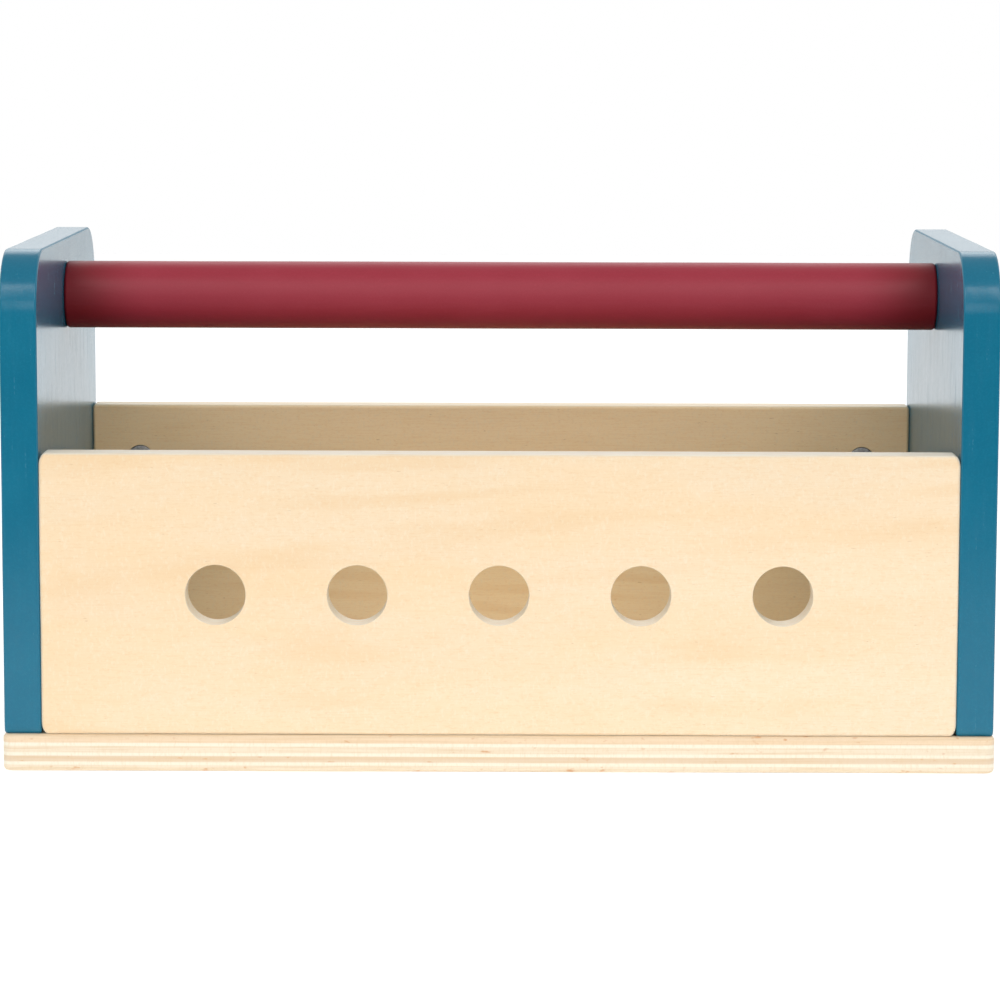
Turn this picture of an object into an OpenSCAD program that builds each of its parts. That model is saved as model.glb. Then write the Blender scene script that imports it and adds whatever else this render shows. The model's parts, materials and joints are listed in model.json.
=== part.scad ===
// Tote toolbox: five boards, a dowel handle, and the bolts, pins and screws that join them.
// +X runs along the handle to the right, +Y to the back and +Z up.
// The origin is on the ground, under the middle of the base.

/* [Box] */
// Length over the outer faces of the two sides
box_length = 280; // [250:1:340]
// Depth from the front panel's face to the back panel's face
box_depth = 150; // [120:1:200]
// Thickness of every board
board = 10.5; // [10:0.5:14]
// How far the base stands out past the sides and panels
base_lip = 0.5; // [0:0.1:3]
// Radius of the base's four upright corners
base_corner_r = 2.5; // [2:0.5:10]
// Radius of the sanded edges of the base and the panels
edge_r = 1.2; // [0.6:0.1:2]

/* [Sides and panels] */
// Height of the two sides above the base
side_h = 136.5; // [125:0.5:170]
// Radius of the sides' top corners
side_corner_r = 17; // [4:1:25]
// Radius of the sides' bottom corners
side_foot_r = 2; // [2:0.5:5]
// Radius of the sides' sanded edges
side_edge_r = 0.8; // [0.4:0.1:1.8]
// Height of the front and back panels above the base
panel_h = 80; // [70:1:95]
// Radius of the panels' four corners
panel_corner_r = 2.2; // [2:0.2:5]

/* [Handle] */
// Diameter of the handle's dowel
handle_d = 20; // [16:1:26]
// Height of the handle's axis above the ground
handle_z = 130; // [128:1:150]
// Radius of the dowel's sanded ends
handle_edge_r = 0.8; // [0.4:0.1:2]

/* [Tool holes] */
// Number of holes in the front panel
hole_count = 5; // [1:1:5]
// Diameter of each hole
hole_d = 17; // [8:0.5:22]
// Distance from hole to hole
hole_pitch = 40; // [30:1:42]

/* [Connector bolts] */
// Thread diameter of the bolts that hold the panels' ends
bolt_d = 4; // [3:0.5:4]
// Length of a connector bolt, head included
bolt_length = 30; // [26:1:34]
// Diameter of a connector bolt's countersunk head
bolt_head_d = 7.6; // [6:0.2:8]
// Diameter of the barrel nuts
nut_d = 8; // [6:0.5:8]
// Length of the barrel nuts
nut_length = 8.4; // [7:0.1:8.5]
// Distance from a panel's end to its barrel nut's axis
nut_inset = 15; // [12:1:18]
// Distance from a panel's top edge to its barrel nut's axis
nut_drop = 17; // [14:1:22]

/* [Dowel pins] */
// Diameter of the wooden pins that line up the panels' ends
pin_d = 6; // [4:1:6]
// Length of a pin
pin_length = 24; // [18:1:28]
// Depth of a pin's hole in a side
pin_side_depth = 7; // [5:0.5:8]
// Height of the pins above the base
pin_height = 20; // [12:1:24]

/* [Wood screws] */
// Diameter of the screws in the handle and the base
screw_d = 4; // [3:0.5:4]
// Diameter of the screws' heads
screw_head_d = 7.6; // [6:0.2:8]
// Length of the two handle screws
handle_screw_length = 40; // [30:5:50]
// Length of the base's screws
base_screw_length = 35; // [25:1:36]
// Distance of the outer screws of a panel from the middle of the box
panel_screw_x = 100; // [60:1:102]
// Distance of a side's screws from the middle of the box
side_screw_y = 35; // [20:1:50]

/* [Hidden] */
$fn = 64;

left = -1;
right = 1;
front = -1;
back = 1;

// Where the boards lie
panel_length = box_length - 2 * board;
panel_y = (box_depth - board) / 2;
panel_z = board + panel_h / 2;
side_x = (box_length - board) / 2;
side_z = board + side_h / 2;
handle_length = panel_length;

// Where the hardware lies
nut_x = panel_length / 2 - nut_inset;
nut_z = board + panel_h - nut_drop;
pin_z = board + pin_height;
pin_panel_depth = pin_length - pin_side_depth + 0.5;

// Play left round hardware in its holes
fit_gap = 0.05;
// Depth of every screw and bolt head below the wood's surface
head_sink = 0.2;
// Extra length of a cut, so that it passes the surface it opens
past = 1;
// Angle between a countersunk head's two sides
head_angle = 90;
// Ratio of a wood screw's core to its outer diameter, and length of its pointed tip
core_ratio = 0.7;
tip_length = 5;
// Size of the drives in the heads, and their depth
hex_across_flats = 2.5;
cross_width = 0.9;
cross_span = 4;
drive_depth = 1.6;
nut_drive_depth = 0.8;
// Chamfer on barrel nuts and pins
nut_chamfer = 0.4;
pin_chamfer = 0.8;

natural_wood = [0.96, 0.86, 0.72];
plywood = [0.94, 0.88, 0.76];
petrol_blue = [0.13, 0.44, 0.55];
dark_red = [0.57, 0.20, 0.27];
beech = [0.86, 0.70, 0.50];
zinc = [0.66, 0.67, 0.69];

// Rectangle about the origin with round corners
module round_rect(width, height, r) {
    square([width - 2 * r, height], center = true);
    square([width, height - 2 * r], center = true);
    for (x = [-1, 1], y = [-1, 1])
        translate([x * (width / 2 - r), y * (height / 2 - r)])
            circle(r);
}

// The right half of round_rect, which turns about its straight edge
module half_round_rect(half_width, height, r) {
    intersection() {
        round_rect(2 * half_width, height, r);
        translate([0, -height / 2])
            square([half_width, height]);
    }
}

// Block about the origin with its edges sanded round: three round-cornered prisms that cross
module eased_block(x, y, z, edge) {
    intersection() {
        linear_extrude(z, center = true)
            round_rect(x, y, edge);
        rotate([90, 0, 0])
            linear_extrude(y, center = true)
                round_rect(x, z, edge);
        rotate([90, 0, 90])
            linear_extrude(x, center = true)
                round_rect(y, z, edge);
    }
}

// One corner of a board, with its edges sanded round the bend; it lies in +X +Y of the bend's centre
module board_corner(r, thick, edge) {
    rotate_extrude(angle = 90)
        half_round_rect(r, thick, edge);
}

// Board lying flat about the origin, with one corner radius towards -Y and one towards +Y
module sanded_board(length, height, thick, low_r, top_r, edge) {
    difference() {
        eased_block(length, height, thick, edge);
        for (x = [-1, 1]) {
            translate([x * length / 2, -height / 2, 0])
                cube([2 * low_r, 2 * low_r, thick + past], center = true);
            translate([x * length / 2, height / 2, 0])
                cube([2 * top_r, 2 * top_r, thick + past], center = true);
        }
    }
    for (flip = [0, 1])
        mirror([flip, 0, 0]) {
            translate([length / 2 - top_r, height / 2 - top_r, 0])
                board_corner(top_r, thick, edge);
            translate([length / 2 - low_r, low_r - height / 2, 0])
                rotate(-90)
                    board_corner(low_r, thick, edge);
        }
}

// Cross-shaped recess about the origin
module cross_drive(depth) {
    for (turn = [0, 90])
        rotate(turn)
            cube([cross_span, cross_width, 2 * depth], center = true);
}

// Countersunk fastener along +Z, its head's flat face at z = 0, with nothing cut in the head
module countersunk_shape(d, head_d, length, tip) {
    cone_h = (head_d - d) / 2 / tan(head_angle / 2);
    cylinder(h = cone_h, d1 = head_d, d2 = d);
    cylinder(h = length - tip, d = d);
    if (tip > 0)
        translate([0, 0, length - tip])
            cylinder(h = tip, d1 = d, d2 = d * (1 - core_ratio));
}

// Hole for countersunk_shape, open from below z = 0
module countersunk_hole(d, head_d, length) {
    translate([0, 0, -past])
        cylinder(h = past, d = head_d + 2 * fit_gap);
    countersunk_shape(d + 2 * fit_gap, head_d + 2 * fit_gap, length + fit_gap, 0);
}

// Wood screw along +Z with a cross drive and a pointed tip
module wood_screw(length) {
    color(zinc)
        difference() {
            countersunk_shape(screw_d, screw_head_d, length, tip_length);
            cross_drive(drive_depth);
        }
}

// Places a fastener's axis along X, its head in the outer face of one side
module from_side(side, y, z) {
    translate([side * (box_length / 2 - head_sink), y, z])
        rotate([0, -side * 90, 0])
            children();
}

// Places a fastener's axis along Z, its head in the underside of the base
module from_below(x, y) {
    translate([x, y, head_sink])
        children();
}

module bolt_hole(side, face) {
    from_side(side, face * panel_y, nut_z)
        countersunk_hole(bolt_d, bolt_head_d, bolt_length + head_sink);
}

module nut_hole(side, face) {
    translate([side * nut_x, face * (panel_y - board / 2), nut_z])
        rotate([-face * 90, 0, 0])
            translate([0, 0, -past])
                cylinder(h = past + nut_length + 2 * head_sink, d = nut_d + 2 * fit_gap);
}

module pin_hole(side, face) {
    translate([side * panel_length / 2, face * panel_y, pin_z])
        rotate([0, 90, 0])
            translate([0, 0, side == left ? -pin_side_depth : -pin_panel_depth])
                cylinder(h = pin_side_depth + pin_panel_depth, d = pin_d + 2 * fit_gap);
}

module handle_screw_hole(side) {
    from_side(side, 0, handle_z)
        countersunk_hole(screw_d, screw_head_d, handle_screw_length + head_sink);
}

module base_screw_hole(x, y) {
    from_below(x, y)
        countersunk_hole(screw_d, screw_head_d, base_screw_length + head_sink);
}

// Every hole that the base's screws need, in the base and in the boards on it
module base_screw_holes() {
    for (face = [front, back], x = [-panel_screw_x, 0, panel_screw_x])
        base_screw_hole(x, face * panel_y);
    for (side = [left, right], y = [-side_screw_y, side_screw_y])
        base_screw_hole(side * side_x, y);
}

module base_plate() {
    color(plywood)
        difference() {
            translate([0, 0, board / 2])
                sanded_board(box_length + 2 * base_lip, box_depth + 2 * base_lip, board,
                    base_corner_r, base_corner_r, edge_r);
            base_screw_holes();
        }
}

module side(which) {
    color(petrol_blue)
        difference() {
            translate([which * side_x, 0, side_z])
                rotate([90, 0, 90])
                    sanded_board(box_depth, side_h, board, side_foot_r, side_corner_r,
                        side_edge_r);
            for (face = [front, back]) {
                bolt_hole(which, face);
                pin_hole(which, face);
            }
            handle_screw_hole(which);
            base_screw_holes();
        }
}

// Long panel with the holes for the hardware in its ends and in its lower edge
module panel(face) {
    difference() {
        translate([0, face * panel_y, panel_z])
            rotate([90, 0, 0])
                sanded_board(panel_length, panel_h, board, panel_corner_r, panel_corner_r,
                    edge_r);
        for (end = [left, right]) {
            bolt_hole(end, face);
            nut_hole(end, face);
            pin_hole(end, face);
        }
        base_screw_holes();
    }
}

module tool_holes() {
    first_x = -hole_pitch * (hole_count - 1) / 2;
    for (i = [0 : hole_count - 1])
        translate([first_x + i * hole_pitch, -panel_y, panel_z])
            rotate([90, 0, 0])
                cylinder(h = board + 2 * past, d = hole_d, center = true);
}

module front_panel() {
    color(natural_wood)
        difference() {
            panel(front);
            tool_holes();
        }
}

module back_panel() {
    color(natural_wood)
        panel(back);
}

module handle() {
    color(dark_red)
        difference() {
            translate([0, 0, handle_z])
                rotate([0, 90, 0])
                    rotate_extrude()
                        half_round_rect(handle_d / 2, handle_length, handle_edge_r);
            for (end = [left, right])
                handle_screw_hole(end);
        }
}

// Cross dowel whose driven end shows in the panel's inner face
module barrel_nut(side, face) {
    inner_y = face * (panel_y - board / 2 + head_sink);
    color(zinc)
        difference() {
            translate([side * nut_x, inner_y, nut_z])
                rotate([-face * 90, 0, 0])
                    difference() {
                        union() {
                            cylinder(h = nut_chamfer, d1 = nut_d - 2 * nut_chamfer, d2 = nut_d);
                            translate([0, 0, nut_chamfer])
                                cylinder(h = nut_length - nut_chamfer, d = nut_d);
                        }
                        cross_drive(nut_drive_depth);
                    }
            translate([side * nut_x, face * panel_y, nut_z])
                rotate([0, 90, 0])
                    cylinder(h = nut_d + 2 * past, d = bolt_d + 2 * fit_gap, center = true);
        }
}

// Machine bolt with a countersunk head and a hexagon socket
module connector_bolt(side, face) {
    color(zinc)
        from_side(side, face * panel_y, nut_z)
            difference() {
                countersunk_shape(bolt_d, bolt_head_d, bolt_length, 0);
                cylinder(h = 2 * drive_depth, d = hex_across_flats / cos(30), center = true, $fn = 6);
            }
}

// Wooden pin, half of it in the side and half in the panel's end
module dowel_pin(side, face) {
    outer_x = panel_length / 2 + pin_side_depth - fit_gap;
    color(beech)
        translate([side * outer_x, face * panel_y, pin_z])
            rotate([0, -side * 90, 0]) {
                cylinder(h = pin_chamfer, d1 = pin_d - 2 * pin_chamfer, d2 = pin_d);
                translate([0, 0, pin_chamfer])
                    cylinder(h = pin_length - 2 * pin_chamfer, d = pin_d);
                translate([0, 0, pin_length - pin_chamfer])
                    cylinder(h = pin_chamfer, d1 = pin_d, d2 = pin_d - 2 * pin_chamfer);
            }
}

module handle_screw(side) {
    from_side(side, 0, handle_z)
        wood_screw(handle_screw_length);
}

module base_screw(x, y) {
    from_below(x, y)
        wood_screw(base_screw_length);
}

base_plate();
side(left);  // left_side
side(right);  // right_side
front_panel();
back_panel();
handle();
barrel_nut(left, front);  // barrel_nut_front_left
barrel_nut(right, front);  // barrel_nut_front_right
barrel_nut(left, back);  // barrel_nut_back_left
barrel_nut(right, back);  // barrel_nut_back_right
connector_bolt(left, front);  // connector_bolt_front_left
connector_bolt(right, front);  // connector_bolt_front_right
connector_bolt(left, back);  // connector_bolt_back_left
connector_bolt(right, back);  // connector_bolt_back_right
dowel_pin(left, front);  // dowel_pin_front_left
dowel_pin(right, front);  // dowel_pin_front_right
dowel_pin(left, back);  // dowel_pin_back_left
dowel_pin(right, back);  // dowel_pin_back_right
handle_screw(left);  // handle_screw_left
handle_screw(right);  // handle_screw_right
base_screw(-panel_screw_x, -panel_y);  // base_screw_front_left
base_screw(0, -panel_y);  // base_screw_front_middle
base_screw(panel_screw_x, -panel_y);  // base_screw_front_right
base_screw(-panel_screw_x, panel_y);  // base_screw_back_left
base_screw(0, panel_y);  // base_screw_back_middle
base_screw(panel_screw_x, panel_y);  // base_screw_back_right
base_screw(-side_x, -side_screw_y);  // base_screw_left_front
base_screw(-side_x, side_screw_y);  // base_screw_left_back
base_screw(side_x, -side_screw_y);  // base_screw_right_front
base_screw(side_x, side_screw_y);  // base_screw_right_back
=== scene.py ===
import json
import math

import bmesh
import bpy
from mathutils import Matrix, Vector, noise


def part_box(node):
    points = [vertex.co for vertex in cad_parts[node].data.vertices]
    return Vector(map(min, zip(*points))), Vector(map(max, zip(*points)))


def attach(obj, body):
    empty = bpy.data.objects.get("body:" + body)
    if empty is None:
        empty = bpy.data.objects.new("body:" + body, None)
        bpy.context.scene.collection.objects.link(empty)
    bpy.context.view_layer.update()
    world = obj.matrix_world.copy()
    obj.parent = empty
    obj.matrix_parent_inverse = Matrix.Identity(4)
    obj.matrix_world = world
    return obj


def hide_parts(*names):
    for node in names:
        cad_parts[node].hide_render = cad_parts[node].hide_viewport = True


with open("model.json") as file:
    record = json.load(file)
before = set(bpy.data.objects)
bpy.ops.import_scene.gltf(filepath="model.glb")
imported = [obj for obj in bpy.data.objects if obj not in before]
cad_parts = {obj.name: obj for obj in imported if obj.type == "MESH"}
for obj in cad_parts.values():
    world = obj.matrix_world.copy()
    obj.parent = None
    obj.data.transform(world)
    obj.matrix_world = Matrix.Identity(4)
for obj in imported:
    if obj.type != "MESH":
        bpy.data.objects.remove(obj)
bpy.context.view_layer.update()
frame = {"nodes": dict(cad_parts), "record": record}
mm = 0.001
print("frame loaded with", len(frame["nodes"]), "nodes")


class Wire:
    # a socket that can be used in sums; every operator adds a Math node
    def __init__(self, nodes, socket):
        self.nodes = nodes
        self.socket = socket

    def __add__(self, other):
        return self.nodes.math("ADD", self, other)

    def __sub__(self, other):
        return self.nodes.math("SUBTRACT", self, other)

    def __rsub__(self, other):
        return self.nodes.math("SUBTRACT", other, self)

    def __mul__(self, other):
        return self.nodes.math("MULTIPLY", self, other)

    def __truediv__(self, other):
        return self.nodes.math("DIVIDE", self, other)

    def __rtruediv__(self, other):
        return self.nodes.math("DIVIDE", other, self)

    __radd__ = __add__
    __rmul__ = __mul__


class Nodes:
    # the nodes of one material or of the world
    def __init__(self, tree):
        self.tree = tree

    def add(self, kind, settings=None, inputs=None, out=0):
        node = self.tree.nodes.new(kind)
        for key, value in (settings or {}).items():
            if key == "stops":
                self.setStops(node.color_ramp, value)
            else:
                setattr(node, key, value)
        for key, value in (inputs or {}).items():
            if isinstance(value, Wire):
                self.tree.links.new(value.socket, node.inputs[key])
            else:
                node.inputs[key].default_value = value
        return Wire(self, node.outputs[out])

    def setStops(self, ramp, stops):
        while len(ramp.elements) < len(stops):
            ramp.elements.new(1.0)
        for element, (position, colour) in zip(ramp.elements, stops):
            element.position = position
            element.color = (*colour, 1.0)

    def math(self, operation, *values):
        return self.add("ShaderNodeMath", {"operation": operation}, dict(enumerate(values)))

    # the X, Y and Z of a vector
    def split(self, vector):
        first = self.add("ShaderNodeSeparateXYZ", None, {0: vector})
        return [Wire(self, output) for output in first.socket.node.outputs]

    # 0 below low, 1 above high, smooth between
    def between(self, value, low, high):
        inputs = {"Value": value, "From Min": low, "From Max": high}
        return self.add("ShaderNodeMapRange", {"interpolation_type": "SMOOTHSTEP"}, inputs)


class Finish(Nodes):
    # one material; its shader's constant values are set on the shader's own sockets
    def __init__(self, name, **constants):
        self.material = bpy.data.materials.new(name)
        self.material.use_nodes = True
        super().__init__(self.material.node_tree)
        self.shader = self.tree.nodes["Principled BSDF"]
        for socket, value in constants.items():
            self.shader.inputs[socket.replace("_", " ")].default_value = value
        place = self.add("ShaderNodeTexCoord", out="Object")
        self.place = self.vector("SCALE", place, scale=1000)  # millimetres from here on

    def vector(self, operation, first, second=(0, 0, 0), scale=1.0):
        inputs = {0: first, "Scale": scale} if operation == "SCALE" else {0: first, 1: second}
        out = "Value" if operation == "LENGTH" else "Vector"
        return self.add("ShaderNodeVectorMath", {"operation": operation}, inputs, out)

    # how far the surface faces along one axis, 0 to 1
    def facing(self, axis):
        tilt = self.add("ShaderNodeNewGeometry", out="Normal")
        return self.math("ABSOLUTE", self.split(tilt)["XYZ".index(axis)])

    # noise in millimetres: size is the length of one feature along X, Y and Z
    def cloud(self, size, detail, roughness=0.5, seed=0.0, distortion=0.0):
        shift = (seed * 17.3, seed * 5.9, seed * 11.1)
        scaled = self.vector("DIVIDE", self.vector("ADD", self.place, shift), size)
        inputs = {"Vector": scaled, "Scale": 1.0, "Detail": detail, "Roughness": roughness,
                  "Distortion": distortion}
        return self.add("ShaderNodeTexNoise", None, inputs, "Fac")

    # from the first colour to the second as the mask goes from 0 to 1
    def blend(self, mask, first, second):
        first, second = (c if isinstance(c, Wire) else (*c, 1.0) for c in (first, second))
        return self.add("ShaderNodeMix", {"data_type": "RGBA"}, {"Factor": mask, 6: first, 7: second}, 2)

    def ramp(self, value, stops):
        return self.add("ShaderNodeValToRGB", {"stops": stops}, {"Fac": value}, "Color")

    def drive(self, socket, value):
        self.tree.links.new(value.socket, self.shader.inputs[socket])

    # height is in millimetres
    def relief(self, height):
        inputs = {"Height": height, "Strength": 1.0, "Distance": mm}
        self.drive("Normal", self.add("ShaderNodeBump", None, inputs, "Normal"))


# display colour, 0 to 255, to the renderer's linear colour
def tone(red, green, blue):
    def linear(level):
        level /= 255
        return level / 12.92 if level <= 0.04045 else ((level + 0.055) / 1.055) ** 2.4
    return tuple(linear(level) for level in (red, green, blue))


frontWood = {
    "pale": tone(236, 216, 186), "warm": tone(233, 205, 165), "cool": tone(231, 214, 188),
    "ring": tone(226, 190, 142), "pore": tone(186, 144, 92),
    "sawnSheen": tone(238, 235, 222), "heart": (34, 26), "ringWidth": 5.5, "roughness": 0.42, "seed": 1,
    "warmTop": 0.5,  # share of the warm tone at the upper left, or below zero at the lower right
}
backWood = {
    "pale": tone(252, 226, 182), "warm": tone(250, 219, 167), "cool": tone(245, 221, 180),
    "ring": tone(234, 188, 126), "pore": tone(180, 134, 80),
    "sawnSheen": tone(230, 219, 196), "heart": (96, 70), "ringWidth": 6.0, "roughness": 0.45, "seed": 9,
    "warmTop": -0.4,
}


# heart is where the growth rings of this board are centred, across the grain, in millimetres
def panelFinish(name, look):
    heart, seed = look["heart"], look["seed"]
    f = Finish(name, IOR=1.5)
    x, y, z = f.split(f.place)
    drift = (f.cloud((160, 40, 22), 2, seed=seed) - 0.5) * 26
    across = f.add("ShaderNodeCombineXYZ", None, {
        "X": 0.0, "Y": y - heart[0] + x * 0.05, "Z": z - heart[1] + x * 0.02 + drift})
    distance = f.vector("LENGTH", across) + (f.cloud((22, 3, 3), 2, seed=seed + 1) - 0.5) * 2.0
    phase = f.math("SINE", distance * (math.tau / look["ringWidth"]))
    ring = f.between(phase, -0.2, 1.0) * f.between(f.cloud((70, 30, 16), 2, seed=seed + 2), 0.42, 0.62)
    broad = f.between(f.cloud((150, 60, 15), 2, seed=seed + 3), 0.36, 0.64)
    patch = f.between(f.cloud((60, 30, 18), 2, seed=seed + 4), 0.4, 0.66)
    fibre = f.cloud((11, 0.45, 0.45), 5, 0.62, seed=seed + 5)
    fleck = f.cloud((1.4, 0.5, 0.5), 2, 0.6, seed=seed + 6)
    mottle = f.cloud((5, 2.2, 2.2), 3, 0.6, seed=seed + 8)
    speck = f.cloud((0.7, 0.7, 1.3), 2, 0.6, seed=seed + 10)
    pore = f.between(f.cloud((2.6, 0.42, 0.42), 2, 0.55, seed=seed + 7), 0.715, 0.79)
    # the board warms slowly from one corner to the opposite one
    slow = f.between(z - 50 - x * 0.35, -60, 60)
    slow = slow if look["warmTop"] > 0 else 1 - slow
    colour = f.blend(broad * 0.4 + slow * abs(look["warmTop"]), look["pale"], look["warm"])
    colour = f.blend(patch * 0.4, colour, look["cool"])
    colour = f.blend(f.between(mottle, 0.35, 0.7) * 0.3, colour, look["warm"])
    colour = f.blend(ring * 0.3, colour, look["ring"])
    colour = f.blend(f.between(fibre, 0.45, 0.75) * 0.28, colour, look["ring"])
    colour = f.blend(f.between(fleck, 0.5, 0.75) * 0.36, colour, look["ring"])
    colour = f.blend(f.between(speck, 0.5, 0.75) * 0.2, colour, look["sawnSheen"])
    colour = f.blend(pore * 0.55, colour, look["pore"])
    # sawn and bored surfaces, all those not facing along Y, are painted paler and greyer than the planed
    # faces: partly the wood's own sawn grain, partly a painted reflection of the bright room on the top
    # edges
    sawnSheen = 1 - f.between(f.facing("Y"), 0.45, 0.95)
    colour = f.blend(sawnSheen * 0.75, colour, f.blend(f.between(fibre, 0.4, 0.7), look["sawnSheen"], look["cool"]))
    f.drive("Base Color", colour)
    f.drive("Roughness", look["roughness"] + (fibre - 0.5) * 0.18 + pore * 0.2)
    f.relief(fibre * 0.025 + fleck * 0.008 - pore * 0.03)
    return f.material


plySheet = {
    "thickness": 10.5, "wobble": 0.22,
    "cream": tone(229, 216, 193), "tan": tone(219, 199, 173), "light": tone(234, 227, 209),
    "peach": tone(229, 206, 176), "knot": tone(204, 146, 96), "faceDark": tone(212, 182, 140),
    "bands": [0.17, 0.26, 0.42, 0.51, 0.69, 0.78],  # light cross plies, as shares of the thickness
    "soft": 0.018,  # half of the step between two plies
}


def plywoodFinish(name):
    look = plySheet
    f = Finish(name, IOR=1.5)
    x, y, z = f.split(f.place)
    wobble = (f.cloud((60, 60, 30), 2, seed=1) - 0.5) * look["wobble"]
    height = (z + wobble) / look["thickness"]
    bands, soft = look["bands"], look["soft"]
    light = 0.0
    for low, high in zip(bands[0::2], bands[1::2]):
        above = f.between(height, low - soft, low + soft)
        light = above * (1 - f.between(height, high - soft, high + soft)) + light
    # the long plies differ a little from each other
    long = f.ramp(height, [(0.0, look["cream"]), (0.2, look["cream"]), (0.3, look["tan"]),
                           (0.44, look["tan"]), (0.5, look["cream"]), (0.7, look["cream"]),
                           (0.78, look["peach"]), (1.0, look["peach"])])
    stripe = f.cloud((26, 26, 0.45), 4, 0.6, seed=2)
    hatch = f.cloud((0.5, 0.5, 1.6), 3, 0.6, seed=3)
    long = f.blend(f.between(stripe, 0.4, 0.7) * 0.45, long, look["faceDark"])
    knot = f.between(f.cloud((4, 4, 1.7), 2, 0.5, seed=4), 0.63, 0.76) * (1 - light)
    long = f.blend(knot * 0.8, long, look["knot"])
    edge = f.blend(light, long, look["light"])
    worked = f.between(hatch, 0.45, 0.75) * 0.25 + f.between(stripe, 0.55, 0.8) * 0.15
    edge = f.blend(worked, edge, look["faceDark"])
    # rotary-cut figure of the two outer faces
    flow = f.vector("LENGTH", f.add("ShaderNodeCombineXYZ", None, {
        "X": x * 0.05, "Y": y, "Z": (f.cloud((120, 34, 40), 3, seed=5) - 0.5) * 130}))
    figure = f.math("SINE", flow * 0.42)
    veneer = f.blend(f.between(figure, -0.4, 1.0) * 0.45, look["cream"], look["faceDark"])
    grain = f.cloud((14, 0.6, 3), 5, 0.62, seed=6)
    veneer = f.blend(f.between(grain, 0.45, 0.75) * 0.35, veneer, look["tan"])
    face = f.between(height, 0.994, 0.998) + (1 - f.between(height, 0.002, 0.006))
    f.drive("Base Color", f.blend(face, edge, veneer))
    f.drive("Roughness", 0.5 + (stripe - 0.5) * 0.2)
    f.relief(grain * 0.02 * face + (stripe * 0.03 + hatch * 0.02) * (1 - face))
    return f.material


# shine is the index of refraction, edge the extra roughness of eased edges, and swell and line are
# heights in millimetres
petrolPaint = {
    "colour": tone(2, 101, 129), "worn": tone(24, 121, 148), "roughness": 0.2, "shine": 1.42,
    "coat": 0.05, "edge": 0.26, "swell": 0.045, "line": 0.012,
}
redPaint = {
    "colour": tone(150, 37, 54), "worn": tone(162, 52, 68), "roughness": 0.47, "shine": 1.42,
    "coat": 0.0, "edge": 0.1, "swell": 0.05, "line": 0.02,
    # painted shade: the ends darken between these two distances from the middle, where the side boards
    # shade the handle
    "endShadeTone": tone(120, 12, 26), "endShadeSpan": (103.5, 127.5),
}


# lacquer over wood, whose grain shows through it as long shallow waves; wave and ripple are the sizes
# of the broad and the fine ones along X, Y and Z
def lacquerFinish(name, look, wave, ripple, seed):
    f = Finish(name, IOR=look["shine"], Coat_Roughness=0.12, Coat_IOR=1.5)
    swell = f.cloud(wave, 2, 0.5, seed=seed, distortion=0.4)
    line = f.cloud(ripple, 4, 0.55, seed=seed + 1)
    peel = f.cloud((0.9, 0.9, 0.9), 2, 0.5, seed=seed + 2)
    dust = f.between(f.cloud((0.7, 0.7, 0.7), 1, 0.5, seed=seed + 3), 0.78, 0.86)
    shade = f.cloud((30, 30, 30), 3, seed=seed + 4)
    grit = f.cloud((0.5, 0.5, 0.5), 2, 0.6, seed=seed + 5)
    colour = f.blend(f.between(shade, 0.4, 0.7) * 0.22 + f.between(line, 0.45, 0.75) * 0.08
                     + f.between(grit, 0.45, 0.7) * 0.2, look["colour"], look["worn"])
    # painted shade: the colour darkens towards both ends of the handle, standing in for the shade of the
    # side boards
    if "endShadeTone" in look:
        along = f.math("ABSOLUTE", f.split(f.place)[0])
        colour = f.blend(f.between(along, *look["endShadeSpan"]), colour, look["endShadeTone"])
    # the brush drags on the eased edges, which stay duller
    flat = f.facing("X")
    edge = f.between(flat, 0.3, 0.6) * (1 - f.between(flat, 0.8, 0.96))
    f.drive("Base Color", colour)
    f.drive("Roughness", look["roughness"] + (peel - 0.5) * 0.1 + dust * 0.15 + edge * look["edge"]
            + f.between(line, 0.5, 0.75) * 0.08)
    if look["coat"]:
        f.drive("Coat Weight", look["coat"] + (shade - 0.5) * 0.1)
    f.relief(swell * look["swell"] + line * look["line"] + peel * 0.02 + grit * 0.012 + dust * 0.006)
    return f.material


def steelFinish(name):
    f = Finish(name, Metallic=1.0)
    haze = f.cloud((1.2, 1.2, 1.2), 4, 0.6)
    scratch = f.cloud((0.08, 2.5, 0.08), 3, 0.6, seed=2)
    f.drive("Base Color", f.blend(f.between(haze, 0.35, 0.7), tone(136, 136, 134), tone(172, 173, 172)))
    f.drive("Roughness", 0.42 + (haze - 0.5) * 0.25 + (scratch - 0.5) * 0.15)
    f.relief(scratch * 0.006 + haze * 0.004)
    return f.material


def beechFinish(name):
    f = Finish(name, IOR=1.5)
    fibre = f.cloud((6, 0.4, 0.4), 4, 0.6)
    fleck = f.between(f.cloud((1.6, 0.25, 0.25), 2, 0.5, seed=2), 0.62, 0.72)
    colour = f.blend(fibre, tone(226, 186, 140), tone(200, 152, 104))
    f.drive("Base Color", f.blend(fleck * 0.6, colour, tone(150, 100, 62)))
    f.drive("Roughness", 0.55 + (fibre - 0.5) * 0.2)
    f.relief(fibre * 0.03)
    return f.material


finishes = {
    "frontWood": panelFinish("frontWood", frontWood),
    "backWood": panelFinish("backWood", backWood),
    "plywood": plywoodFinish("plywood"),
    "petrolLeft": lacquerFinish("petrolLeft", petrolPaint, (5, 6, 26), (0.8, 0.8, 18), 3),
    "petrolRight": lacquerFinish("petrolRight", petrolPaint, (5, 6, 26), (0.8, 0.8, 18), 13),
    "redLacquer": lacquerFinish("redLacquer", redPaint, (50, 4, 4), (14, 0.7, 0.7), 23),
    "zincSteel": steelFinish("zincSteel"),
    "beech": beechFinish("beech"),
}
print("finishes made:", ", ".join(finishes))


def addObject(name, data, place=Matrix()):
    made = bpy.data.objects.new(name, data)
    bpy.context.scene.collection.objects.link(made)
    made.matrix_world = place
    return made


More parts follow.
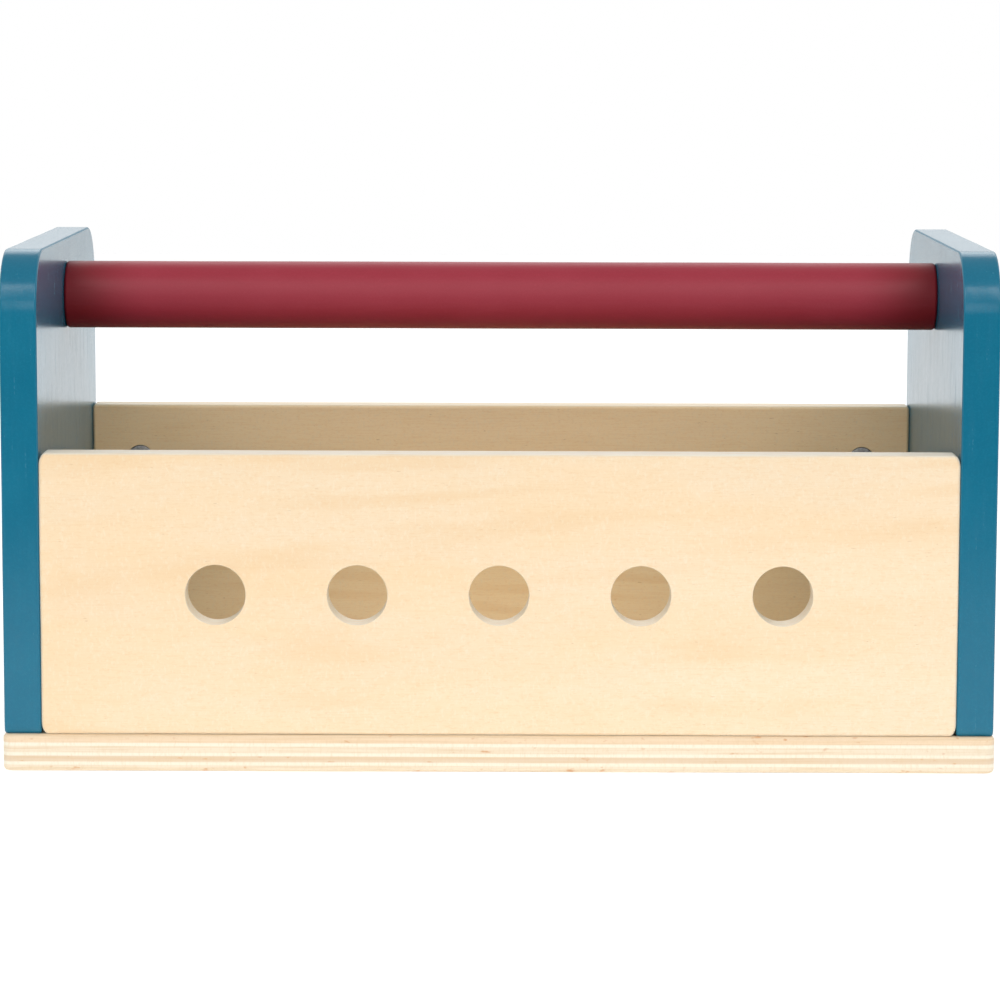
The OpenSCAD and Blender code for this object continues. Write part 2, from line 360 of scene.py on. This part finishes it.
def meshFrom(name, bm):
    mesh = bpy.data.meshes.new(name)
    bm.to_mesh(mesh)
    bm.free()
    return mesh


# a mesh that shades smoothly over edges below the angle, in its finish
def finishedMesh(name, bm, finish, smoothAngle=35):
    bmesh.ops.recalc_face_normals(bm, faces=bm.faces)
    for face in bm.faces:
        face.smooth = True
    for edge in bm.edges:
        edge.smooth = len(edge.link_faces) == 2 and edge.calc_face_angle(0) < math.radians(smoothAngle)
    mesh = meshFrom(name, bm)
    mesh.materials.append(finishes[finish])
    return mesh


# quads from each ring to the next
def stitch(bm, rings):
    for lower, upper in zip(rings, rings[1:]):
        for i in range(len(lower)):
            j = (i + 1) % len(lower)
            bm.faces.new((lower[i], lower[j], upper[j], upper[i]))


# skin over a stack of rings, closed at both ends
def skin(bm, rings):
    stitch(bm, rings)
    bm.faces.new(rings[0][::-1])
    bm.faces.new(rings[-1])


# a ring of points about the z axis
def ringAt(bm, radius, height, count):
    return [bm.verts.new((radius * math.cos(a), radius * math.sin(a), height))
            for a in (math.tau * i / count for i in range(count))]


# how finely the boards are drawn, and how their sanded edges vary
sanding = {
    "step": 6 * mm, "cornerSteps": 16, "arcSteps": 6, "leastRadius": 0.25 * mm,
    "wander": 45,  # how often the unevenness comes and goes, per metre
    "topReach": 11 * mm,  # how far below the top the extra wear starts
}


# points of a round-cornered rectangle, anticlockwise; corners are (along, up) radii from the lower
# right one on. The inset draws the same points further in, and the corners tighten with it.
def outlinePoints(width, height, corners, inset=0.0):
    turns, least = sanding["cornerSteps"], sanding["leastRadius"]
    signs = [(1, -1), (1, 1), (-1, 1), (-1, -1)]
    arcs = []
    for i, ((sx, sy), (rx, ry)) in enumerate(zip(signs, corners)):
        rx, ry = max(rx - inset, least), max(ry - inset, least)
        centre = Vector((sx * (width / 2 - inset - rx), sy * (height / 2 - inset - ry)))
        start = -math.pi / 2 + i * math.pi / 2
        arcs.append([centre + Vector((rx * math.cos(start + k / turns * math.pi / 2),
                                      ry * math.sin(start + k / turns * math.pi / 2)))
                     for k in range(turns + 1)])
    points = []
    for i, arc in enumerate(arcs):
        points += arc
        end, begin = arc[-1], arcs[(i + 1) % 4][0]
        steps = round((height if i % 2 == 0 else width) / sanding["step"])
        points += [end.lerp(begin, k / steps) for k in range(1, steps)]
    return points


# a board drawn in its own plane, x and y along it and z through it, with hand-sanded edges that
# may be rounder near the top
def boardMesh(width, height, corners, thickness, ease, uneven, seed, topWear=0.0):
    bm = bmesh.new()
    wander, arcSteps = sanding["wander"], sanding["arcSteps"]
    plain = outlinePoints(width, height, corners)
    rings = []
    for side in (1, -1):
        wear = []
        for p in plain:
            worn = uneven * (1 + noise.noise(Vector((p.x * wander, p.y * wander, seed + side * 3.7))))
            rise = min(1.0, max(0.0, 1 - (height / 2 - p.y) / sanding["topReach"]))
            wear.append((worn + topWear * rise ** 2) / (2 * uneven + topWear))
        half = []
        for k in range(arcSteps + 1):
            angle = k / arcSteps * math.pi / 2
            inset = ease * (1 - math.sin(angle))
            least = outlinePoints(width, height, corners, inset * (1 - uneven))
            most = outlinePoints(width, height, corners, inset * (1 + uneven + topWear))
            ring = []
            for low, high, share in zip(least, most, wear):
                place = low.lerp(high, share)
                reach = ease * (1 - uneven + (2 * uneven + topWear) * share)
                depth = thickness / 2 - reach * (1 - math.cos(angle))
                ring.append(bm.verts.new((place.x, place.y, side * depth)))
            half.append(ring)
        rings.append(half)
    front, back = rings
    stitch(bm, front + back[::-1])
    bm.faces.new(front[0])
    bm.faces.new(back[0][::-1])
    return bm


# a solid turned about its own z axis, from (radius, height) points; it starts and ends on the axis
def turnedMesh(profile, segments=48):
    bm = bmesh.new()
    rings = [ringAt(bm, radius, height, segments) for radius, height in profile[1:-1]]
    stitch(bm, rings)
    for ring, (_, height) in ((rings[0], profile[0]), (rings[-1], profile[-1])):
        tip = bm.verts.new((0, 0, height))
        for i in range(segments):
            bm.faces.new((tip, ring[i], ring[(i + 1) % segments]))
    return bm


# a closed body with its faces turned outwards, for the cuts
def solidObject(name, bm, place=Matrix()):
    bmesh.ops.recalc_face_normals(bm, faces=bm.faces)
    return addObject(name, meshFrom(name, bm), place)


# cuts every tool out of the body and gives back the body's new mesh
def carve(body, tools):
    target = solidObject("uncut", body)
    for index, (tool, place) in enumerate(tools):
        cutter = solidObject(f"cutter{index}", tool, place)
        cut = target.modifiers.new(cutter.name, "BOOLEAN")
        cut.operation = "DIFFERENCE"
        cut.solver = "EXACT"
        cut.object = cutter
    bpy.context.view_layer.update()
    evaluated = target.evaluated_get(bpy.context.evaluated_depsgraph_get())
    bm = bmesh.new()
    bm.from_mesh(evaluated.data)
    for leftover in [m.object for m in target.modifiers] + [target]:
        bpy.data.objects.remove(leftover)
    bmesh.ops.remove_doubles(bm, verts=bm.verts, dist=1e-6)
    return bm


# every finished piece stands in for one node; its large faces keep their own flat normals
def finishPiece(name, mesh, node, place=Matrix()):
    piece = addObject(name, mesh, place)
    weighted = piece.modifiers.new("settleNormals", "WEIGHTED_NORMAL")
    weighted.keep_sharp = True
    weighted.weight = 100
    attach(piece, "root")
    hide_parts(node)


# a frame with its z axis along the direction given
def aim(position, direction):
    return Matrix.Translation(position) @ Vector(direction).to_track_quat("Z", "Y").to_matrix().to_4x4()


# places and sizes, read from the frame
baseLow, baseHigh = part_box("base_plate")
sideLow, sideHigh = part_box("right_side")
panelLow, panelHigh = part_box("front_panel")
handleLow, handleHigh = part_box("handle")
board = panelHigh.y - panelLow.y
panelY = -(panelLow.y + panelHigh.y) / 2
panelTall = panelHigh.z - panelLow.z
panelLong = panelHigh.x - panelLow.x
sideX = (sideLow.x + sideHigh.x) / 2
ends = {"left": -1, "right": 1}
faces = {"front": -1, "back": 1}


def middle(node):
    low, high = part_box(node)
    return (low + high) / 2


def span(node):
    low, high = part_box(node)
    return high - low


# what the bores and the hardware share
hardware = {
    "headRadius": 3.8 * mm, "shankRadius": 2.0 * mm, "play": 0.05 * mm, "sink": 0.2 * mm,
    "nutRadius": 4.0 * mm, "nutLength": 8.4 * mm, "pinRadius": 3.0 * mm, "rim": 0.25 * mm,
    "past": 0.3 * mm, "nutPast": 0.4 * mm,  # how much deeper a bore is than what it holds
    "out": 2 * mm,  # how far a cutter stands out of the wood
    "headFace": 0.96, "headBevel": 0.12 * mm, "headLand": 0.35 * mm,  # face as a share of the head
}


# countersunk bore from z = 0 up, with its mouth open below
def headBore(length):
    h = hardware
    head, shank = h["headRadius"] + h["play"], h["shankRadius"] + h["play"]
    start, rim, out = h["sink"], h["rim"], h["out"]
    end = start + length
    return turnedMesh([(0, -out), (head + rim + out, -out), (head + rim, 0), (head, rim),
                       (head, start + rim), (shank, start + head - shank), (shank, end), (0, end)])


# a rim breaks the edge of the bore's mouth at z = 0
def plainBore(radius, low, high, rim=0.0):
    mouth = [(radius + rim, -rim), (radius, rim)] if rim else []
    return turnedMesh([(0, low), (radius + rim, low), *mouth, (radius, high), (0, high)])


def boltBores(end, face):
    bolt, boltSize = middle(f"connector_bolt_{face}_{end}"), span(f"connector_bolt_{face}_{end}")
    pin, pinSize = middle(f"dowel_pin_{face}_{end}"), span(f"dowel_pin_{face}_{end}")
    side = ends[end]
    outer = Vector((side * sideHigh.x, bolt.y, bolt.z))
    pinHalf = pinSize.x / 2 + hardware["past"]
    pinBore = plainBore(hardware["pinRadius"] + hardware["play"], -pinHalf, pinHalf)
    return [(headBore(boltSize.x + hardware["past"]), aim(outer, (-side, 0, 0))),
            (pinBore, aim(pin, (1, 0, 0)))]


def baseBores(names):
    tools = []
    for name in names:
        spot, length = middle(f"base_screw_{name}"), span(f"base_screw_{name}").z
        tools.append((headBore(length + hardware["past"]), aim(Vector((spot.x, spot.y, 0)), (0, 0, 1))))
    return tools


# the bore that a handle screw needs through a side and into the dowel's end
def handleBore(end):
    side, screw = ends[end], f"handle_screw_{end}"
    outer = Vector((side * sideHigh.x, 0, middle(screw).z))
    return headBore(span(screw).x), aim(outer, (-side, 0, 0))


basePlate = {"corner": 2.6 * mm, "ease": 1.25 * mm, "uneven": 0.25}
baseScrews = [n[len("base_screw_"):] for n in sorted(frame["nodes"]) if n.startswith("base_screw_")]


def makeBase():
    size = baseHigh - baseLow
    corner = (basePlate["corner"], basePlate["corner"])
    body = boardMesh(size.x, size.y, [corner] * 4, size.z, basePlate["ease"], basePlate["uneven"], 1.0)
    body.transform(Matrix.Translation((baseLow + baseHigh) / 2))
    body = carve(body, baseBores(baseScrews))
    finishPiece("plywoodBase", finishedMesh("plywoodBase", body, "plywood"), "base_plate")


sideBoard = {
    "topCorner": 17 * mm, "foot": (1.6 * mm, 3.2 * mm), "ease": 0.7 * mm, "uneven": 0.3, "topWear": 0.25,
}


def makeSide(end):
    side = ends[end]
    size = sideHigh - sideLow
    top = (sideBoard["topCorner"], sideBoard["topCorner"])
    corners = [sideBoard["foot"], top, top, sideBoard["foot"]]
    body = boardMesh(size.y, size.z, corners, size.x, sideBoard["ease"], sideBoard["uneven"], 5.0 + side,
                     sideBoard["topWear"])
    centreZ = (sideLow.z + sideHigh.z) / 2
    body.transform(Matrix(((0, 0, 1, side * sideX), (1, 0, 0, 0), (0, 1, 0, centreZ), (0, 0, 0, 1))))
    tools = boltBores(end, "front") + boltBores(end, "back") + [handleBore(end)]
    tools += baseBores([n for n in baseScrews if n.startswith(end)])
    name = f"{end}SideBoard"
    mesh = finishedMesh(name, carve(body, tools), f"petrol{end.capitalize()}")
    finishPiece(name, mesh, f"{end}_side")


woodPanel = {
    "frontCorner": (1.9 * mm, 3.6 * mm), "backCorner": (0.9 * mm, 1.4 * mm),
    "ease": 1.1 * mm, "uneven": 0.3, "holeRim": 0.35 * mm,
}


def makePanel(face):
    side = faces[face]
    corners = [woodPanel[f"{face}Corner"]] * 4
    body = boardMesh(panelLong, panelTall, corners, board, woodPanel["ease"], woodPanel["uneven"],
                     11.0 + side)
    centreZ = (panelLow.z + panelHigh.z) / 2
    body.transform(Matrix(((1, 0, 0, 0), (0, 0, -1, side * panelY), (0, 1, 0, centreZ), (0, 0, 0, 1))))
    tools = []
    for end in ends:
        tools += boltBores(end, face)
        nut = middle(f"barrel_nut_{face}_{end}")
        mouth = Vector((nut.x, side * (panelY - board / 2), nut.z))
        nutBore = plainBore(hardware["nutRadius"] + hardware["play"], -hardware["out"],
                            hardware["nutLength"] + hardware["nutPast"], hardware["rim"])
        tools.append((nutBore, aim(mouth, (0, side, 0))))
    tools += baseBores([n for n in baseScrews if n.startswith(face)])
    if face == "front":
        tools += toolHoles()
    name = f"{face}Panel"
    mesh = finishedMesh(name, carve(body, tools), f"{face}Wood")
    finishPiece(name, mesh, f"{face}_panel")


# the row of through holes, each with its rims just broken
def toolHoles():
    tools = []
    rim = woodPanel["holeRim"]
    for mount in frame["record"]["mounts"]:
        if mount["kind"] != "bore":
            continue
        radius = mount["dims"]["r_mm"] * mm
        half = board / 2
        end = half + hardware["out"]
        profile = [(0, -end), (radius + rim, -end), (radius + rim, -half)]
        profile += [(radius + rim * (1 - math.sin(a)), -half + rim * (1 - math.cos(a)))
                    for a in (math.pi / 2 * k / 4 for k in range(1, 5))]
        profile += [(r, -h) for r, h in reversed(profile)]
        tools.append((turnedMesh(profile, 96), aim(Vector(mount["pos_m"]), (0, 1, 0))))
    return tools


# along and around say how often the ripple comes and goes, per metre and over the girth
handleBar = {
    "ease": 0.9 * mm, "ripple": 0.035 * mm, "along": 25, "around": 1.5, "rings": 90, "segments": 96,
}


def makeHandle():
    radius = (handleHigh.z - handleLow.z) / 2
    axisZ = (handleHigh.z + handleLow.z) / 2
    length = handleHigh.x - handleLow.x
    ease, count = handleBar["ease"], handleBar["segments"]
    stations = [(radius - ease * (1 - math.sin(a)), ease * (1 - math.cos(a)))
                for a in (math.pi / 2 * k / 6 for k in range(7))]
    straight = length - 2 * ease
    inner = [(radius, ease + straight * k / handleBar["rings"]) for k in range(1, handleBar["rings"])]
    stations += inner + [(r, length - s) for r, s in reversed(stations)]
    bm = bmesh.new()
    rings = []
    for r, s in stations:
        ring = []
        for i in range(count):
            angle = math.tau * i / count
            around = Vector((0, math.cos(angle), math.sin(angle))) * handleBar["around"]
            dip = noise.noise(Vector((s * handleBar["along"], around.y, around.z)))
            reach = r - handleBar["ripple"] * (1 + dip)
            place = (s - length / 2, reach * math.cos(angle), axisZ + reach * math.sin(angle))
            ring.append(bm.verts.new(place))
        rings.append(ring)
    skin(bm, rings)
    body = carve(bm, [handleBore(end) for end in ends])
    mesh = finishedMesh("carryingHandle", body, "redLacquer")
    finishPiece("carryingHandle", mesh, "handle")


thread = {"segments": 24, "perTurn": 8, "flank": 2.6, "runIn": 0.1 * mm}
connectorBolt = {
    "pitch": 0.7 * mm, "depth": 0.32 * mm, "plain": 7 * mm, "tip": 0,
    "hexFlats": 2.5 * mm, "hexDepth": 1.6 * mm,
}
woodScrew = {
    "pitch": 1.8 * mm, "depth": 0.55 * mm, "handlePlain": 12 * mm, "basePlain": 11 * mm, "tip": 6 * mm,
    "crossSpan": 4 * mm, "crossWidth": 0.95 * mm, "crossDepth": 1.6 * mm,
}
barrelNut = {
    "bevel": 0.45 * mm, "lip": 0.12 * mm, "backBevel": 0.3 * mm, "tap": 2.05 * mm, "tapReach": 9 * mm,
    "crossSpan": 4 * mm, "crossWidth": 1.2 * mm, "crossDepth": 0.9 * mm,
}
flutedDowel = {"chamfer": 0.8 * mm, "flutes": 16, "fluteDepth": 0.18 * mm, "segments": 96}


# rows of a helical thread between two heights, tapering to nothing over the last stretch
def threadRings(bm, look, start, stop):
    radius, depth, pitch, tip = hardware["shankRadius"], look["depth"], look["pitch"], look["tip"]
    rows = round((stop - start) / pitch * thread["perTurn"])
    count = thread["segments"]
    rings = []
    for row in range(rows + 1):
        height = start + (stop - start) * row / rows
        fade = min(1.0, (stop - height) / tip) if tip else 1.0
        core = (radius - depth) * max(fade, 0.08) ** 0.8
        ring = []
        for i in range(count):
            turn = (height / pitch - i / count) % 1.0
            crest = max(0.0, 1 - abs(turn - 0.5) * thread["flank"])
            reach = core + depth * crest * min(1.0, fade * 1.6) * min(1.0, row / thread["perTurn"])
            angle = math.tau * i / count
            ring.append(bm.verts.new((reach * math.cos(angle), reach * math.sin(angle), height)))
        rings.append(ring)
    return rings


# fastener along z with its countersunk head's face at zero; plain is where the bare shank ends
def fastener(look, length, plain):
    h = hardware
    head, shank, depth = h["headRadius"], h["shankRadius"], look["depth"]
    bm = bmesh.new()
    profile = [(head * h["headFace"], 0), (head, h["headBevel"]), (head, h["headLand"]),
               (shank, head - shank), (shank, plain), (shank - depth, plain + depth)]
    rings = [ringAt(bm, radius, height, thread["segments"]) for radius, height in profile]
    rings += threadRings(bm, look, plain + depth + thread["runIn"], length)
    skin(bm, rings)
    return bm


# four-winged recess that narrows towards its bottom
def crossRecess(look):
    across, width, depth = look["crossSpan"], look["crossWidth"], look["crossDepth"]
    bm = bmesh.new()
    rings = []
    for scale, height in ((1.0, depth * 0.2), (1.0, 0.0), (0.55, -depth)):
        reach, half = across / 2 * scale, width / 2 * (0.5 + 0.5 * scale)
        wing = [(reach, -half), (reach, half), (half, half)]
        ring = []
        for turn in range(4):
            cosine, sine = round(math.cos(turn * math.pi / 2)), round(math.sin(turn * math.pi / 2))
            ring += [bm.verts.new((x * cosine - y * sine, x * sine + y * cosine, height)) for x, y in wing]
        rings.append(ring)
    skin(bm, rings)
    return bm


def hexRecess(acrossFlats, depth):
    radius = acrossFlats / 2 / math.cos(math.pi / 6)
    return turnedMesh([(0, -depth * 0.2), (radius, -depth * 0.2), (radius, depth), (0, depth * 1.3)], 6)


# the middle of a fastener's head face, at the left or the right end of its node
def headEnd(node, side):
    low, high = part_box(node)
    return Vector((high.x if side > 0 else low.x, (low.y + high.y) / 2, (low.z + high.z) / 2))


def boltPattern():
    look = connectorBolt
    bolt = fastener(look, span("connector_bolt_front_right").x, look["plain"])
    recess = hexRecess(look["hexFlats"], look["hexDepth"])
    return finishedMesh("boltPattern", carve(bolt, [(recess, Matrix())]), "zincSteel")


def nutPattern():
    look, radius, length = barrelNut, hardware["nutRadius"], hardware["nutLength"]
    bevel, backBevel, lip = look["bevel"], look["backBevel"], look["lip"]
    barrel = turnedMesh([(0, 0), (radius - bevel, 0), (radius - lip, lip), (radius, bevel),
                         (radius, length - backBevel), (radius - backBevel, length), (0, length)])
    tap, reach = look["tap"], look["tapReach"]
    bore = turnedMesh([(0, -reach), (tap, -reach), (tap, reach), (0, reach)], 32)
    tools = [(bore, aim(Vector((0, 0, board / 2 - hardware["sink"])), (1, 0, 0))),
             (crossRecess(look), Matrix())]
    return finishedMesh("nutPattern", carve(barrel, tools), "zincSteel")


def screwPattern(name, length, plain):
    screw = fastener(woodScrew, length, plain)
    return finishedMesh(name, carve(screw, [(crossRecess(woodScrew), Matrix())]), "zincSteel")


# beech pin with glue flutes and chamfered ends, along z about its middle
def flutedPin(length):
    radius, chamfer, count = hardware["pinRadius"], flutedDowel["chamfer"], flutedDowel["segments"]
    bm = bmesh.new()
    rings = []
    half = length / 2
    for height, inset in ((-half, chamfer), (chamfer - half, 0), (half - chamfer, 0), (half, chamfer)):
        ring = []
        for i in range(count):
            angle = math.tau * i / count
            groove = flutedDowel["fluteDepth"] * max(0.0, math.cos(flutedDowel["flutes"] * angle)) ** 3
            reach = radius - inset - groove
            ring.append(bm.verts.new((reach * math.cos(angle), reach * math.sin(angle), height)))
        rings.append(ring)
    skin(bm, rings)
    return bm


# several pieces share each of these meshes
def makeHardware():
    boltMesh, nutMesh = boltPattern(), nutPattern()
    pinMesh = finishedMesh("pinPattern", flutedPin(span("dowel_pin_front_right").x), "beech", 50)
    for face, faceSide in faces.items():
        for end, side in ends.items():
            corner = f"{face}_{end}"
            title = face + end.capitalize()
            bolt, nut, pin = f"connector_bolt_{corner}", f"barrel_nut_{corner}", f"dowel_pin_{corner}"
            finishPiece(f"{title}Bolt", boltMesh, bolt,
                        aim(headEnd(bolt, side), (-side, 0, 0)))
            mouth = middle(nut) - Vector((0, faceSide * span(nut).y / 2, 0))
            finishPiece(f"{title}BarrelNut", nutMesh, nut, aim(mouth, (0, faceSide, 0)))
            finishPiece(f"{title}Pin", pinMesh, pin, aim(middle(pin), (1, 0, 0)))
    length = span("handle_screw_right").x
    longScrew = screwPattern("handleScrewPattern", length, woodScrew["handlePlain"])
    for end, side in ends.items():
        screw = f"handle_screw_{end}"
        finishPiece(f"{end}HandleScrew", longScrew, screw,
                    aim(headEnd(screw, side), (-side, 0, 0)))
    length = span(f"base_screw_{baseScrews[0]}").z
    baseScrew = screwPattern("baseScrewPattern", length, woodScrew["basePlain"])
    for name in baseScrews:
        screw = f"base_screw_{name}"
        foot = middle(screw) - Vector((0, 0, span(screw).z / 2))
        finishPiece(f"baseScrew_{name}", baseScrew, screw, aim(foot, (0, 0, 1)))


makeBase()
print("base made")
for end in ends:
    makeSide(end)
print("sides made")
for face in faces:
    makePanel(face)
print("panels made")
makeHandle()
print("handle made")
makeHardware()
print("hardware made")


# white paper that glows a little, so that it stays white away from the lamps; sizes in metres
floorLook = {"wide": 3.2, "front": -0.46, "back": 2.4, "colour": (0.95, 0.95, 0.95), "glow": 0.34}


def makeFloor():
    bm = bmesh.new()
    half = floorLook["wide"] / 2
    front, back = floorLook["front"], floorLook["back"]
    corners = [(-half, front), (half, front), (half, back), (-half, back)]
    bm.faces.new([bm.verts.new((x, y, -0.1 * mm)) for x, y in corners])
    mesh = meshFrom("floor", bm)
    paper = bpy.data.materials.new("floorPaper")
    paper.use_nodes = True
    shader = paper.node_tree.nodes["Principled BSDF"]
    shader.inputs["Base Color"].default_value = (*floorLook["colour"], 1)
    shader.inputs["Roughness"].default_value = 0.9
    shader.inputs["Emission Color"].default_value = (1, 1, 1, 1)
    shader.inputs["Emission Strength"].default_value = floorLook["glow"]
    mesh.materials.append(paper)
    addObject("floor", mesh)


studio = {
    "targetZ": 0.07,  # the height that every lamp points at
    "lights": [
        # name, azimuth from the front, elevation, distance, width, height, watts
        ("keyLeft", -30, 36, 1.7, 0.7, 0.8, 7.7),
        ("keyRight", 30, 36, 1.7, 0.7, 0.8, 8.2),
        ("frontBox", 0, 12, 1.9, 0.7, 0.5, 3.2),
        ("backBox", 180, 38, 1.8, 1.6, 0.8, 4.6),
    ],
    # brightness of the room overhead, around the object and below the table's edge
    "overhead": 0.6, "aroundFront": 0.3, "aroundBack": 1.2, "belowFront": 0.15, "belowBack": 1.0,
}


def makeLights():
    target = Vector((0, 0, studio["targetZ"]))
    for name, azimuth, elevation, distance, width, height, watts in studio["lights"]:
        turn, lift = math.radians(azimuth), math.radians(elevation)
        away = Vector((math.sin(turn) * math.cos(lift), -math.cos(turn) * math.cos(lift), math.sin(lift)))
        lamp = bpy.data.lights.new(name, "AREA")
        lamp.shape = "RECTANGLE"
        lamp.size, lamp.size_y, lamp.energy = width, height, watts
        addObject(name, lamp, aim(target + away * distance, away))


# a light tent, brighter behind than in front; where nothing stands, the camera sees plain white
def makeWorld():
    world = bpy.data.worlds.new("studioRoom")
    bpy.context.scene.world = world
    world.use_nodes = True
    room = Nodes(world.node_tree)

    def fade(mask, first, second):
        return (second - first) * mask + first

    _, y, z = room.split(room.add("ShaderNodeTexCoord", out="Generated"))
    backwards = room.between(y, -0.4, 0.4)
    below = fade(backwards, studio["belowFront"], studio["belowBack"])
    around = fade(backwards, studio["aroundFront"], studio["aroundBack"])
    walls = fade(room.between(z, -0.02, 0.1), below, around)
    tent = fade(room.between(z, 0.45, 0.8), walls, studio["overhead"])
    straight = room.add("ShaderNodeLightPath", out="Is Camera Ray")
    background = room.tree.nodes["Background"]
    background.inputs["Color"].default_value = (1, 1, 1, 1)
    room.tree.links.new(fade(straight, tent, 1.0).socket, background.inputs["Strength"])


# a long lens looking slightly down at the front
cameraSpot = {
    "place": (3.59 * mm, -1131 * mm, 209.16 * mm), "down": 7.096, "turn": 0.184, "roll": 0.154,
    "lens": 136.4,
}


def makeCamera():
    data = bpy.data.cameras.new("camera")
    data.lens = cameraSpot["lens"]
    data.sensor_width = 36.0
    data.clip_start, data.clip_end = 0.05, 50
    turn, down, roll = (math.radians(cameraSpot[key]) for key in ("turn", "down", "roll"))
    place = (Matrix.Translation(cameraSpot["place"]) @ Matrix.Rotation(turn, 4, "Z")
             @ Matrix.Rotation(math.pi / 2 - down, 4, "X") @ Matrix.Rotation(roll, 4, "Z"))
    bpy.context.scene.camera = addObject("camera", data, place)


makeFloor()
makeLights()
makeWorld()
makeCamera()
bpy.context.scene.view_settings.view_transform = "Standard"
print("stage, lights and camera made")

bpy.context.view_layer.update()
